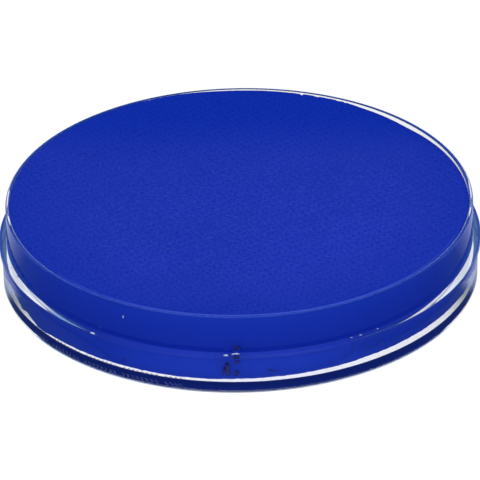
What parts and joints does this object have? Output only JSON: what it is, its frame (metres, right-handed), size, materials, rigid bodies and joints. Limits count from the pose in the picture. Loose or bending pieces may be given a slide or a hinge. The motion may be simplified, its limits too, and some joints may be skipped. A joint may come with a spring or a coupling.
{
  "type": "paint jar",
  "caption": "Shallow clear plastic jar without its lid, filled with a pressed cake of blue water-based paint, with a ledge and neck for a slip lid.",
  "frame": {"origin": "centre of the foot ring, on the surface that the jar stands on", "axes": "+Z along the jar's axis, up out of its mouth; X and Y are equivalent, because the jar is round"},
  "size_m": [0.075, 0.075, 0.0126],
  "materials": {
    "clear_plastic": "gloss",
    "blue_paint": "matte",
    "label_film": "satin"
  },
  "bodies": {
    "root": {"cup": "clear_plastic", "paint_cake": "blue_paint", "base_label": "label_film"}
  },
  "joints": []
}
